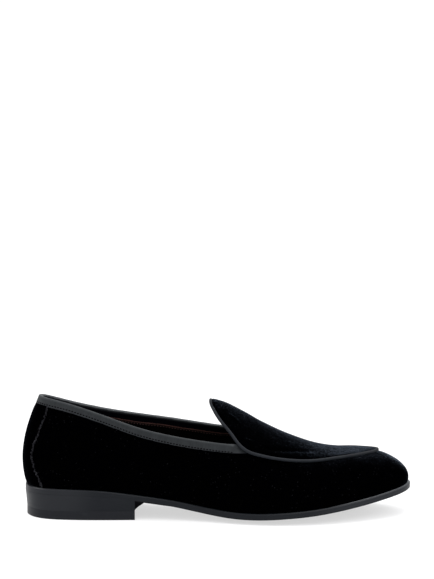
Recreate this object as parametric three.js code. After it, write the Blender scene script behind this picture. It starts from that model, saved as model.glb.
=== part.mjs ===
// A man's velvet slipper loafer for the right foot, in millimetres. The toe points along +X, the outer
// (lateral) side of the foot is at -Y and +Z is up. The shoe stands empty on the plane z = 0.
import * as THREE from 'three';

// Sizes of the sole and heel
const SOLE_LENGTH = 295;
const BALL_WIDTH = 101;
const SOLE_THICKNESS = 4.9;
const SOLE_EDGE_ROUND = 0.8;
const SEAT_HEIGHT = 18.3;
const TOE_SPRING = 18.8;
const EDGE_LIFT = 3.3;
const TREAD_WEAR = 0.6;
const CROWN_FULLNESS = 1.35;
const TOP_PIECE_HEIGHT = 6.3;
const HEEL_TAPER = 1.2;
const BREAST_LATERAL = 85;
const BREAST_MEDIAL = 89.5;
const BREAST_HOLLOW = 4.2;

// Sizes of the upper
const FEATHER_INSET = 2.2;
const UPPER_WALL = 1.8;
const COLLAR_HEIGHT = 68.5;
const INSTEP_HEIGHT = 76;
const PLUG_LAP = 6;
const LAP_SHARE_MOST = 0.4;
const PLUG_WALL = 1.6;
const PLUG_CROWN = 2.2;
const PIPING_DIAMETER = 2.2;
const BINDING_THICKNESS = 0.6;
const BINDING_WIDTH = 6.5;
const BACK_STRIP_THICKNESS = 1;
const INSOLE_THICKNESS = 2.5;
const INSOLE_EASE = 0.6;

// Gap that neighbouring pieces keep
const CLEARANCE = 0.3;

// One row for each section from the heel's back to the toe's tip. along is a share of SOLE_LENGTH, lateral and
// medial are the sole's two edges as shares of BALL_WIDTH, and seat, spring and crown are shares of SEAT_HEIGHT,
// TOE_SPRING and EDGE_LIFT in the height of the sole's lower edge.
const SOLE_SECTIONS = [
  { along: 0.000, lateral: 0.000, medial: 0.000, seat: 1.000, spring: 0.000, crown: 0.00 },
  { along: 0.008, lateral: 0.112, medial: 0.112, seat: 1.000, spring: 0.000, crown: 0.00 },
  { along: 0.031, lateral: 0.214, medial: 0.214, seat: 1.000, spring: 0.000, crown: 0.00 },
  { along: 0.068, lateral: 0.280, medial: 0.279, seat: 1.000, spring: 0.000, crown: 0.00 },
  { along: 0.129, lateral: 0.309, medial: 0.307, seat: 0.990, spring: 0.000, crown: 0.00 },
  { along: 0.210, lateral: 0.315, medial: 0.309, seat: 0.940, spring: 0.000, crown: 0.00 },
  { along: 0.298, lateral: 0.307, medial: 0.287, seat: 0.750, spring: 0.000, crown: 0.00 },
  { along: 0.380, lateral: 0.313, medial: 0.255, seat: 0.530, spring: 0.000, crown: 0.22 },
  { along: 0.461, lateral: 0.360, medial: 0.267, seat: 0.215, spring: 0.000, crown: 0.70 },
  { along: 0.536, lateral: 0.435, medial: 0.342, seat: 0.030, spring: 0.000, crown: 0.95 },
  { along: 0.603, lateral: 0.484, medial: 0.434, seat: 0.000, spring: 0.010, crown: 1.00 },
  { along: 0.671, lateral: 0.498, medial: 0.494, seat: 0.000, spring: 0.070, crown: 1.00 },
  { along: 0.746, lateral: 0.473, medial: 0.501, seat: 0.000, spring: 0.165, crown: 1.00 },
  { along: 0.817, lateral: 0.414, medial: 0.454, seat: 0.000, spring: 0.335, crown: 0.88 },
  { along: 0.881, lateral: 0.333, medial: 0.374, seat: 0.000, spring: 0.535, crown: 0.64 },
  { along: 0.932, lateral: 0.248, medial: 0.291, seat: 0.000, spring: 0.715, crown: 0.40 },
  { along: 0.969, lateral: 0.166, medial: 0.219, seat: 0.000, spring: 0.855, crown: 0.20 },
  { along: 0.993, lateral: 0.074, medial: 0.136, seat: 0.000, spring: 0.965, crown: 0.05 },
  { along: 1.000, lateral: -0.030, medial: 0.030, seat: 0.000, spring: 1.000, crown: 0.00 },
];

// The collar's top edge at the first sections of SOLE_SECTIONS: along in shares of SOLE_LENGTH, lateral and medial
// in shares of BALL_WIDTH, and the heights above the sole's top there in shares of COLLAR_HEIGHT.
const COLLAR_SECTIONS = [
  { along: 0.0400, lateral: 0.000, medial: 0.000, lateralHeight: 0.990, medialHeight: 0.990 },
  { along: 0.0441, lateral: 0.064, medial: 0.064, lateralHeight: 0.993, medialHeight: 0.980 },
  { along: 0.0576, lateral: 0.119, medial: 0.119, lateralHeight: 0.986, medialHeight: 0.957 },
  { along: 0.0850, lateral: 0.162, medial: 0.161, lateralHeight: 0.966, medialHeight: 0.916 },
  { along: 0.1356, lateral: 0.208, medial: 0.208, lateralHeight: 0.920, medialHeight: 0.851 },
  { along: 0.2102, lateral: 0.248, medial: 0.248, lateralHeight: 0.833, medialHeight: 0.788 },
  { along: 0.2949, lateral: 0.278, medial: 0.278, lateralHeight: 0.755, medialHeight: 0.773 },
  { along: 0.3797, lateral: 0.302, medial: 0.302, lateralHeight: 0.722, medialHeight: 0.767 },
  { along: 0.4610, lateral: 0.330, medial: 0.330, lateralHeight: 0.731, medialHeight: 0.765 },
  { along: 0.5424, lateral: 0.361, medial: 0.357, lateralHeight: 0.740, medialHeight: 0.750 },
];

// The plug, from the tongue's tip to the front of the apron. Its edge is given by along, lateral, medial and the
// two edge heights, and its ridge by ridgeAlong and ridgeHeight. The heights are above the sole's top at that
// place, in shares of INSTEP_HEIGHT. The rows from SEAM_ROW on are stitched to the vamp.
const PLUG_SECTIONS = [
  { along: 0.490, lateral: 0.055, medial: 0.095, lateralEdge: 0.978, medialEdge: 0.980, ridgeAlong: 0.491, ridge: 1.010 },
  { along: 0.496, lateral: 0.123, medial: 0.163, lateralEdge: 0.935, medialEdge: 0.943, ridgeAlong: 0.504, ridge: 1.006 },
  { along: 0.508, lateral: 0.203, medial: 0.242, lateralEdge: 0.869, medialEdge: 0.880, ridgeAlong: 0.526, ridge: 0.986 },
  { along: 0.522, lateral: 0.267, medial: 0.303, lateralEdge: 0.803, medialEdge: 0.816, ridgeAlong: 0.548, ridge: 0.949 },
  { along: 0.537, lateral: 0.316, medial: 0.345, lateralEdge: 0.741, medialEdge: 0.757, ridgeAlong: 0.568, ridge: 0.911 },
  { along: 0.552, lateral: 0.352, medial: 0.374, lateralEdge: 0.684, medialEdge: 0.700, ridgeAlong: 0.588, ridge: 0.869 },
  { along: 0.569, lateral: 0.371, medial: 0.392, lateralEdge: 0.630, medialEdge: 0.652, ridgeAlong: 0.606, ridge: 0.825 },
  { along: 0.588, lateral: 0.364, medial: 0.389, lateralEdge: 0.588, medialEdge: 0.606, ridgeAlong: 0.625, ridge: 0.782 },
  { along: 0.631, lateral: 0.338, medial: 0.371, lateralEdge: 0.531, medialEdge: 0.538, ridgeAlong: 0.665, ridge: 0.697 },
  { along: 0.681, lateral: 0.305, medial: 0.344, lateralEdge: 0.487, medialEdge: 0.484, ridgeAlong: 0.709, ridge: 0.613 },
  { along: 0.741, lateral: 0.263, medial: 0.306, lateralEdge: 0.456, medialEdge: 0.446, ridgeAlong: 0.759, ridge: 0.527 },
  { along: 0.801, lateral: 0.210, medial: 0.256, lateralEdge: 0.439, medialEdge: 0.426, ridgeAlong: 0.808, ridge: 0.466 },
  { along: 0.844, lateral: 0.160, medial: 0.212, lateralEdge: 0.424, medialEdge: 0.413, ridgeAlong: 0.821, ridge: 0.452 },
  { along: 0.874, lateral: 0.093, medial: 0.150, lateralEdge: 0.411, medialEdge: 0.404, ridgeAlong: 0.830, ridge: 0.447 },
  { along: 0.893, lateral: 0.028, medial: 0.087, lateralEdge: 0.402, medialEdge: 0.399, ridgeAlong: 0.835, ridge: 0.444 },
  { along: 0.900, lateral: -0.030, medial: 0.030, lateralEdge: 0.400, medialEdge: 0.400, ridgeAlong: 0.837, ridge: 0.443 },
];
const SEAM_ROW = 7;

// How the upper's wall swells between the sole and its top edge, one row for each section. low and high are the
// outward swells near the sole and near the top in shares of BALL_WIDTH, rise and drop how far up and down each
// one reaches in shares of the wall's height there.
const WALL_SWELL = [
  { low: 0.066, rise: 0.32, high: 0.109, drop: 0.42 },
  { low: 0.063, rise: 0.32, high: 0.106, drop: 0.42 },
  { low: 0.054, rise: 0.32, high: 0.098, drop: 0.41 },
  { low: 0.044, rise: 0.32, high: 0.084, drop: 0.40 },
  { low: 0.035, rise: 0.33, high: 0.080, drop: 0.38 },
  { low: 0.034, rise: 0.34, high: 0.062, drop: 0.36 },
  { low: 0.040, rise: 0.35, high: 0.050, drop: 0.35 },
  { low: 0.050, rise: 0.36, high: 0.050, drop: 0.34 },
  { low: 0.052, rise: 0.38, high: 0.054, drop: 0.32 },
  { low: 0.050, rise: 0.40, high: 0.064, drop: 0.28 },
  { low: 0.045, rise: 0.44, high: 0.080, drop: 0.25 },
  { low: 0.041, rise: 0.47, high: 0.090, drop: 0.26 },
  { low: 0.040, rise: 0.48, high: 0.100, drop: 0.25 },
  { low: 0.040, rise: 0.48, high: 0.112, drop: 0.20 },
  { low: 0.040, rise: 0.48, high: 0.124, drop: 0.15 },
  { low: 0.042, rise: 0.48, high: 0.136, drop: 0.12 },
  { low: 0.045, rise: 0.48, high: 0.146, drop: 0.11 },
  { low: 0.048, rise: 0.48, high: 0.152, drop: 0.10 },
  { low: 0.049, rise: 0.48, high: 0.155, drop: 0.10 },
];

// How finely the surfaces are divided
const STEPS_PER_SECTION = 2;
const WALL_STEPS = 8;
const EDGE_STEPS = 2;
const SOLE_STRIPS = 6;
const PLUG_STRIPS = 4;
const PIPING_SIDES = 8;
const PIPING_STEPS = 120;
const HEEL_STEPS = 10;

const LAST_SECTION = SOLE_SECTIONS.length - 1;
const RING = 2 * LAST_SECTION;
const COLLAR_END = COLLAR_SECTIONS.length - 1;
const SEAM_START = COLLAR_END + 1;
const PLUG_END = PLUG_SECTIONS.length - 1;
const BACK_STRIP_SECTIONS = 2;
const BACK_STRIP_TOP = 0.9;
const UP = new THREE.Vector3(0, 0, 1);

const mix = THREE.MathUtils.lerp;
const moved = (point, direction, distance) => point.clone().addScaledVector(direction, distance);
const between = (a, b, share) => a.clone().lerp(b, share);

// Smooth value between the rows of a list, at a place counted in rows.
function smooth(values, place, closed) {
  const count = values.length;
  const pick = (i) => values[closed ? (i + count) % count : THREE.MathUtils.clamp(i, 0, count - 1)];
  const row = Math.floor(place);
  const t = place - row;
  const [a, b, c, d] = [pick(row - 1), pick(row), pick(row + 1), pick(row + 2)];
  return b + 0.5 * t * (c - a + t * (2 * a - 5 * b + 4 * c - d + t * (3 * (b - c) + d - a)));
}

// A table's column as a function of the place on the ring that runs from the heel's back along the lateral side
// to the toe, and back along the medial side.
function aroundShoe(rows, lateral, medial = lateral) {
  const back = rows.slice(1, -1).reverse();
  const values = [...rows.map(lateral), ...back.map(medial)];
  return (place) => smooth(values, (place + RING) % RING, true);
}

const soleAlong = aroundShoe(SOLE_SECTIONS, (row) => row.along * SOLE_LENGTH);
const soleSide = aroundShoe(SOLE_SECTIONS, (row) => -row.lateral * BALL_WIDTH, (row) => row.medial * BALL_WIDTH);
const swellLow = aroundShoe(WALL_SWELL, (row) => row.low * BALL_WIDTH);
const swellRise = aroundShoe(WALL_SWELL, (row) => row.rise);
const swellHigh = aroundShoe(WALL_SWELL, (row) => row.high * BALL_WIDTH);
const swellDrop = aroundShoe(WALL_SWELL, (row) => row.drop);

// The row of SOLE_SECTIONS, with its fraction, that lies a distance x from the sole's back.
function sectionAt(x) {
  const last = LAST_SECTION - 1;
  const found = SOLE_SECTIONS.findIndex((row, i) => i < last && x < SOLE_SECTIONS[i + 1].along * SOLE_LENGTH);
  const row = found < 0 ? last : found;
  const start = SOLE_SECTIONS[row].along * SOLE_LENGTH;
  const end = SOLE_SECTIONS[row + 1].along * SOLE_LENGTH;
  return row + THREE.MathUtils.clamp((x - start) / (end - start), 0, 1);
}

function soleEdgeLow(x) {
  const edge = SOLE_SECTIONS.map((row) => row.seat * SEAT_HEIGHT + row.spring * TOE_SPRING + row.crown * EDGE_LIFT);
  return smooth(edge, sectionAt(x), false);
}

const soleTop = (x) => soleEdgeLow(x) + SOLE_THICKNESS;

// The sole's underside: its middle half hangs lower than its edges, and is worn flat where it meets the ground.
function soleBottom(x, across) {
  const crown = smooth(SOLE_SECTIONS.map((row) => row.crown), sectionAt(x), false);
  const fullness = Math.min(1, CROWN_FULLNESS * (1 - across * across));
  return Math.max(0, soleEdgeLow(x) - crown * (EDGE_LIFT + TREAD_WEAR) * fullness);
}

// The sole's edge in plan, moved in by inset, at a place on the ring.
function outline(place, inset) {
  const step = 0.05;
  const ahead = new THREE.Vector3(soleAlong(place + step), soleSide(place + step), 0);
  const behind = new THREE.Vector3(soleAlong(place - step), soleSide(place - step), 0);
  const outward = ahead.sub(behind).cross(UP).normalize();
  const point = new THREE.Vector3(soleAlong(place), soleSide(place), 0);
  return { point: moved(point, outward, -inset), outward };
}

// The plug's edge and ridge at a place counted in rows of PLUG_SECTIONS, lateral side first and then back.
function plugColumn(lateral, medial = lateral) {
  const back = PLUG_SECTIONS.slice(0, -1).reverse();
  const values = [...PLUG_SECTIONS.map(lateral), ...back.map(medial)];
  return (place) => smooth(values, place, false);
}

const plugAlong = plugColumn((row) => row.along * SOLE_LENGTH);
const plugSide = plugColumn((row) => -row.lateral * BALL_WIDTH, (row) => row.medial * BALL_WIDTH);
const plugEdgeHeight = plugColumn((row) => row.lateralEdge * INSTEP_HEIGHT, (row) => row.medialEdge * INSTEP_HEIGHT);
const ridgeAlong = plugColumn((row) => row.ridgeAlong * SOLE_LENGTH);
const ridgeSide = plugColumn((row) => (row.medial - row.lateral) / 2 * BALL_WIDTH);
const ridgeHeight = plugColumn((row) => row.ridge * INSTEP_HEIGHT);

// A point of the plug's outer face, share 0 on its edge and 1 on its ridge.
function plugPoint(place, share) {
  const x = plugAlong(place);
  const edge = new THREE.Vector3(x, plugSide(place), soleTop(x) + plugEdgeHeight(place));
  const ridgeX = ridgeAlong(place);
  const ridge = new THREE.Vector3(ridgeX, ridgeSide(place), soleTop(ridgeX) + ridgeHeight(place));
  const point = between(edge, ridge, share);
  point.z = mix(edge.z, ridge.z, 1 - (1 - share) ** PLUG_CROWN);
  return point;
}

function plugNormal(place, share) {
  const step = 0.02;
  const last = 2 * PLUG_END;
  const from = Math.max(0, place - step);
  const to = Math.min(last, place + step);
  const run = plugPoint(to, share).sub(plugPoint(from, share));
  const rise = plugPoint(place, Math.min(1, share + step)).sub(plugPoint(place, Math.max(0, share - step)));
  return run.cross(rise).normalize();
}

// Share of the way from the plug's edge to its ridge that its lap over the vamp takes up. The narrow end of the
// tongue has no room for all of it.
function lapShare(place) {
  const edge = plugPoint(place, 0);
  return Math.min(LAP_SHARE_MOST, PLUG_LAP / Math.hypot(ridgeAlong(place) - edge.x, ridgeSide(place) - edge.y));
}

// A point of the upper's outer face under the plug's lap, share 0 at the seam and 1 at the cut edge.
function lapPoint(place, share) {
  const plugShare = share * lapShare(place);
  return moved(plugPoint(place, plugShare), plugNormal(place, plugShare), -(PLUG_WALL + CLEARANCE));
}

function collarPoint(place) {
  const lateral = place < LAST_SECTION;
  const row = lateral ? place : RING - place;
  const column = (read) => smooth(COLLAR_SECTIONS.map(read), row, false);
  const x = column((r) => r.along) * SOLE_LENGTH;
  const side = column((r) => (lateral ? -r.lateral : r.medial)) * BALL_WIDTH;
  const height = column((r) => (lateral ? r.lateralHeight : r.medialHeight)) * COLLAR_HEIGHT;
  return new THREE.Vector3(x, side, soleTop(x) + height - BINDING_THICKNESS - CLEARANCE);
}

// One section of the upper's outer face, from the sole to its top edge.
function wallSection(place) {
  const onRing = (place + RING) % RING;
  const seamed = onRing >= SEAM_START && onRing <= RING - SEAM_START;
  const { point: foot, outward } = outline(onRing, FEATHER_INSET);
  foot.z = soleTop(foot.x) + CLEARANCE;
  const plugPlace = onRing - SEAM_START + SEAM_ROW;
  const top = seamed ? lapPoint(plugPlace, 0) : collarPoint(onRing);
  const height = top.z - foot.z;
  const low = moved(foot, outward, swellLow(onRing)).addScaledVector(UP, swellRise(onRing) * height);
  const high = moved(top, outward, swellHigh(onRing)).addScaledVector(UP, -swellDrop(onRing) * height);
  const curve = new THREE.CubicBezierCurve3(foot, low, high, top);
  const wallEnd = seamed ? 1 : 1 - BINDING_WIDTH / curve.getLength();
  const points = [];
  for (let i = 0; i <= WALL_STEPS; i += 1) {
    points.push(curve.getPointAt(wallEnd * i / WALL_STEPS));
  }
  for (let i = 1; i <= EDGE_STEPS; i += 1) {
    const share = i / EDGE_STEPS;
    points.push(seamed ? lapPoint(plugPlace, share) : curve.getPointAt(mix(wallEnd, 1, share)));
  }
  return points;
}

// The upper's outer face as a closed grid of sections. Between the last collar section and the first seamed one
// stands the mean of the two.
function upperGrid() {
  const grid = [];
  for (let i = 0; i < RING * STEPS_PER_SECTION; i += 1) {
    const place = i / STEPS_PER_SECTION;
    const row = place < LAST_SECTION ? place : RING - place;
    if (row > COLLAR_END && row < SEAM_START) {
      const collar = wallSection(place < LAST_SECTION ? COLLAR_END : RING - COLLAR_END);
      const seam = wallSection(place < LAST_SECTION ? SEAM_START : RING - SEAM_START);
      grid.push(collar.map((point, k) => between(point, seam[k], row - COLLAR_END)));
    } else {
      grid.push(wallSection(place));
    }
  }
  return grid;
}

// Outward normals of a grid that is closed in its first direction.
function ringNormals(grid) {
  const count = grid.length;
  return grid.map((section, i) => section.map((point, k) => {
    const run = grid[(i + 1) % count][k].clone().sub(grid[(i + count - 1) % count][k]);
    const rise = section[Math.min(k + 1, section.length - 1)].clone().sub(section[Math.max(k - 1, 0)]);
    return run.cross(rise).normalize();
  }));
}

// Collects triangles, joins their corners where they coincide and drops those without an area.
class Solid {
  constructor() {
    this.corners = [];
    this.triangles = [];
    this.numbers = new Map();
  }

  corner(point) {
    const key = point.toArray().map((value) => Math.round(value * 1000)).join(' ');
    if (!this.numbers.has(key)) {
      this.numbers.set(key, this.corners.length / 3);
      this.corners.push(...point.toArray());
    }
    return this.numbers.get(key);
  }

  triangle(a, b, c) {
    const numbers = [a, b, c].map((point) => this.corner(point));
    if (new Set(numbers).size === 3) {
      this.triangles.push(...numbers);
    }
  }

  quad(a, b, c, d) {
    this.triangle(a, b, c);
    this.triangle(a, c, d);
  }

  // Faces between neighbouring rows of points. A closed grid also joins its last row to its first.
  sheet(rows, closed = false) {
    const last = rows.length - 1;
    rows.forEach((row, i) => {
      if (i === last && !closed) {
        return;
      }
      const next = rows[(i + 1) % rows.length];
      for (let k = 0; k + 1 < row.length; k += 1) {
        this.quad(row[k], next[k], next[k + 1], row[k + 1]);
      }
    });
  }

  geometry() {
    const geometry = new THREE.BufferGeometry();
    geometry.setAttribute('position', new THREE.Float32BufferAttribute(this.corners, 3));
    geometry.setIndex(this.triangles);
    geometry.computeVertexNormals();
    return geometry;
  }
}

// The outer rim of a grid, once round, in the order that its faces need. A last row that is folded on itself, or
// is a single point, has no part in it.
function rim(grid) {
  const first = grid[0];
  const last = grid[grid.length - 1];
  const end = first.length - 1;
  const folded = last[0].distanceTo(last[end]) < CLEARANCE;
  return [
    ...grid.map((row) => row[0]),
    ...(folded ? [] : last.slice(1)),
    ...grid.slice(0, -1).reverse().map((row) => row[end]),
    ...first.slice(1, -1).reverse(),
  ];
}

// A plate between an upper and a lower grid of the same size. rims are loops that its edge passes through.
function plate(upper, lower, rims = []) {
  const solid = new Solid();
  solid.sheet(upper);
  solid.sheet(lower.map((row) => [...row].reverse()));
  const loops = [rim(lower), ...rims, rim(upper)];
  const columns = loops[0].map((point, i) => loops.map((loop) => loop[i]));
  solid.sheet(columns, true);
  return solid.geometry();
}

function finish(colour, roughness, metalness = 0) {
  return new THREE.MeshStandardMaterial({ color: colour, roughness, metalness });
}

const shoe = new THREE.Group();

function add(name, geometry, material) {
  const mesh = new THREE.Mesh(geometry, material);
  mesh.name = name;
  shoe.add(mesh);
}

// Points across the shoe from its lateral edge to its medial one, at each half section from back to toe.
function floorGrid(inset, height) {
  const rows = [];
  for (let i = 0; i <= LAST_SECTION * STEPS_PER_SECTION; i += 1) {
    const place = i / STEPS_PER_SECTION;
    const lateral = outline(place, inset).point;
    const medial = outline(RING - place, inset).point;
    const row = [];
    for (let k = 0; k <= SOLE_STRIPS; k += 1) {
      const share = k / SOLE_STRIPS;
      const point = between(lateral, medial, share);
      point.z = height(point.x, 2 * share - 1);
      row.push(point);
    }
    rows.push(row);
  }
  return rows;
}

// Outsole: one thickness of leather from the seat to the toe, with a softened edge.
function outsole() {
  const round = SOLE_EDGE_ROUND;
  const edge = (drop) => rim(floorGrid(0, (x) => drop(x)));
  return plate(
    floorGrid(round, soleTop),
    floorGrid(round, soleBottom),
    [edge((x) => soleEdgeLow(x) + round), edge((x) => soleTop(x) - round)],
  );
}

// Insole: the sock that lies on the sole inside the upper.
function insole() {
  const inset = FEATHER_INSET + UPPER_WALL + INSOLE_EASE;
  const base = (x) => soleTop(x) + CLEARANCE;
  return plate(floorGrid(inset, (x) => base(x) + INSOLE_THICKNESS), floorGrid(inset, base));
}

// Points of the heel in plan, from its back to its hollow front. inset narrows it all round but not at its front.
function heelGrid(inset, height) {
  const lateralEnd = sectionAt(BREAST_LATERAL);
  const medialEnd = sectionAt(BREAST_MEDIAL);
  const rows = [];
  for (let i = 0; i <= HEEL_STEPS; i += 1) {
    const share = i / HEEL_STEPS;
    const lateral = outline(share * lateralEnd, inset).point;
    const medial = outline(RING - share * medialEnd, inset).point;
    const row = [];
    for (let k = 0; k <= SOLE_STRIPS; k += 1) {
      const across = k / SOLE_STRIPS;
      const point = between(lateral, medial, across);
      point.x -= BREAST_HOLLOW * share ** 3 * (1 - (2 * across - 1) ** 2);
      point.z = height(point.x);
      row.push(point);
    }
    rows.push(row);
  }
  return rows;
}

// Heel stack: leather lifts under the seat, a little narrower at the bottom.
function heelStack() {
  const top = (x) => soleEdgeLow(x) - CLEARANCE;
  const bottom = () => TOP_PIECE_HEIGHT + CLEARANCE;
  return plate(heelGrid(0, top), heelGrid(HEEL_TAPER, bottom));
}

// Top piece: the rubber that meets the ground.
function heelTopPiece() {
  return plate(heelGrid(HEEL_TAPER, () => TOP_PIECE_HEIGHT), heelGrid(HEEL_TAPER, () => 0));
}

const outerFace = upperGrid();
const outerNormals = ringNormals(outerFace);

// A point a distance off the upper's outer face, counted inwards when negative. The lowest row stays level.
function offUpper(i, k, distance) {
  const n = outerNormals[i][k].clone();
  if (k === 0) {
    n.z = 0;
    n.normalize();
  }
  return moved(outerFace[i][k], n, distance);
}

// Upper: vamp and quarters in one wall, open at the collar, under the plug and underneath.
function upper() {
  const solid = new Solid();
  const inner = outerFace.map((section, i) => section.map((point, k) => offUpper(i, k, -UPPER_WALL)));
  const columns = outerFace.map((section, i) => [...section, ...[...inner[i]].reverse(), section[0]]);
  solid.sheet(columns, true);
  return solid.geometry();
}

// Collar binding: a ribbon folded over the collar's edge, from one side of the tongue round the back to the other.
function collarBinding() {
  const rows = [WALL_STEPS, WALL_STEPS + EDGE_STEPS / 2, WALL_STEPS + EDGE_STEPS];
  const near = CLEARANCE;
  const far = CLEARANCE + BINDING_THICKNESS;
  const topRow = WALL_STEPS + EDGE_STEPS;
  const span = COLLAR_END * STEPS_PER_SECTION;
  const loops = [];
  for (let step = -span; step <= span; step += 1) {
    const i = (step + outerFace.length) % outerFace.length;
    const rise = outerFace[i][topRow].clone().sub(outerFace[i][topRow - 1]).normalize();
    const outside = (distance) => rows.map((k) => offUpper(i, k, distance));
    const inside = (distance) => rows.map((k) => offUpper(i, k, -UPPER_WALL - distance)).reverse();
    const raised = (point, height) => moved(point, rise, height);
    const [outerFar, innerFar, outerNear, innerNear] = [outside(far), inside(far), outside(near), inside(near)];
    loops.push([
      ...outerFar,
      raised(outerFar[2], far),
      raised(innerFar[0], far),
      ...innerFar,
      ...[...innerNear].reverse(),
      raised(innerNear[0], near),
      raised(outerNear[2], near),
      ...[...outerNear].reverse(),
    ]);
  }
  const solid = new Solid();
  solid.sheet(loops.map((loop) => [...loop, loop[0]]));
  const half = loops[0].length / 2;
  const cap = (loop) => loop.slice(0, half).map((point, k) => [point, loop[loop.length - 1 - k]]);
  solid.sheet(cap(loops[0]));
  solid.sheet(cap(loops[loops.length - 1]).map((pair) => [...pair].reverse()));
  return solid.geometry();
}

// Back strip: a second layer of velvet over the seam at the back, under the collar binding.
function backStrip() {
  const span = BACK_STRIP_SECTIONS * STEPS_PER_SECTION;
  const layer = (distance) => {
    const rows = [];
    for (let step = -span; step <= span; step += 1) {
      const i = (step + outerFace.length) % outerFace.length;
      const section = [];
      for (let k = 0; k < WALL_STEPS; k += 1) {
        section.push(offUpper(i, k, distance));
      }
      section.push(between(section[WALL_STEPS - 1], offUpper(i, WALL_STEPS, distance), BACK_STRIP_TOP));
      rows.push(section);
    }
    return rows;
  };
  return plate(layer(CLEARANCE + BACK_STRIP_THICKNESS), layer(CLEARANCE));
}

// The plug's rows of points from one edge over the ridge to the other, a depth below its outer face.
function plugGrid(depth) {
  const rows = [];
  for (let i = 0; i <= PLUG_END * STEPS_PER_SECTION; i += 1) {
    const place = i / STEPS_PER_SECTION;
    const half = (at) => {
      const lap = lapShare(at);
      const shares = [0, lap / 2];
      for (let k = 0; k <= PLUG_STRIPS; k += 1) {
        shares.push(mix(lap, 1, k / PLUG_STRIPS));
      }
      return shares.map((share) => moved(plugPoint(at, share), plugNormal(at, share), -depth));
    };
    const lateral = half(place);
    const medial = half(2 * PLUG_END - place).reverse();
    const ridge = between(lateral[lateral.length - 1], medial[0], 0.5);
    rows.push([...lateral.slice(0, -1), ridge, ...medial.slice(1)]);
  }
  return rows;
}

// Plug and tongue: the apron over the foot's front, running back into the tongue that stands free.
function plugTongue() {
  return plate(plugGrid(0), plugGrid(PLUG_WALL));
}

// Piping: a round cord in leather that follows the whole edge of the plug and tongue.
function plugPiping() {
  const radius = PIPING_DIAMETER / 2;
  const away = radius + CLEARANCE;
  const lift = radius - PLUG_WALL / 2;
  const path = [];
  for (let place = 0; place <= 2 * PLUG_END; place += 0.5) {
    const edge = plugPoint(place, 0);
    const normal = plugNormal(place, 0);
    const ahead = plugPoint(Math.min(place + 0.1, 2 * PLUG_END), 0);
    const behind = plugPoint(Math.max(place - 0.1, 0), 0);
    const outward = ahead.sub(behind).cross(normal).normalize();
    path.push(moved(edge, normal, lift - PLUG_WALL / 2).addScaledVector(outward, away));
  }
  const back = plugGrid(PLUG_WALL / 2 - lift)[0].reverse();
  back.slice(1, -1).forEach((point) => path.push(moved(point, new THREE.Vector3(-1, 0, 0), away)));
  const curve = new THREE.CatmullRomCurve3(path, true, 'centripetal');
  return new THREE.TubeGeometry(curve, PIPING_STEPS, radius, PIPING_SIDES, true);
}

const velvet = 0x0d0d10;
add('upper', upper(), finish(velvet, 0.95));
add('plug_tongue', plugTongue(), finish(velvet, 0.95));
add('back_strip', backStrip(), finish(0x131316, 0.95));
add('plug_piping', plugPiping(), finish(0x34383b, 0.5));
add('collar_binding', collarBinding(), finish(0x313537, 0.7));
add('insole', insole(), finish(0x17130f, 0.6));
add('outsole', outsole(), finish(0x1c1d1e, 0.3));
add('heel_stack', heelStack(), finish(0x1c1d1e, 0.3));
add('heel_top_piece', heelTopPiece(), finish(0x141414, 0.6));

// The origin is put on the ground under the middle of the whole shoe.
const extent = new THREE.Box3().setFromObject(shoe);
const middle = extent.getCenter(new THREE.Vector3());
shoe.position.set(-middle.x, -middle.y, 0);

export default shoe;
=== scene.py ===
# A black velvet slipper loafer for the right foot, built up piece by piece round its solid model.
# Everything is in metres: the toe points along +X, the outer side of the foot is at -Y, +Z is up.
import math
import random

import bmesh
import bpy
import numpy as np
from mathutils import Matrix, Vector
from mathutils.bvhtree import BVHTree


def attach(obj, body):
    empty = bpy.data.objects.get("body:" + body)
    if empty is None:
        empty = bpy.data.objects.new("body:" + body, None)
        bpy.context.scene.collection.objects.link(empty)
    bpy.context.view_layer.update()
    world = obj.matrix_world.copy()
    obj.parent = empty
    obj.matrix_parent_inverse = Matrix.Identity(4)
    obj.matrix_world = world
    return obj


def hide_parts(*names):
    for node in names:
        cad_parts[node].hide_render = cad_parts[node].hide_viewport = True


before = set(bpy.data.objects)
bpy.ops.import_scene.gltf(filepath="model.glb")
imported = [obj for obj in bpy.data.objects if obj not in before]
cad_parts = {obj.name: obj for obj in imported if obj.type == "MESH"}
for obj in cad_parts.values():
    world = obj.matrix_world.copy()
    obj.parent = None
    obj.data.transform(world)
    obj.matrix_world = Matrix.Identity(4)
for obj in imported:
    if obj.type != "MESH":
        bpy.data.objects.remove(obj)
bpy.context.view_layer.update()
MM = 0.001

# Camera: a long lens at the height of a low table, square to the shoe's outer side and tilted a little
# down, with the shoe low in an upright picture.
CAMERA_DISTANCE = 1.4803
CAMERA_HEIGHT = 0.335
CAMERA_ALONG = 0.00027
CAMERA_TILT = math.radians(6.32)
FOCAL_PIXELS = 1966
PICTURE_HEIGHT = 579

bpy.ops.object.camera_add(
    location=(CAMERA_ALONG, -CAMERA_DISTANCE, CAMERA_HEIGHT),
    rotation=(math.radians(90) - CAMERA_TILT, 0, 0),
)
camera = bpy.context.active_object
camera.data.sensor_width = 36
camera.data.lens = camera.data.sensor_width * FOCAL_PIXELS / PICTURE_HEIGHT
bpy.context.scene.camera = camera
bpy.context.scene.view_settings.view_transform = "Standard"


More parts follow.
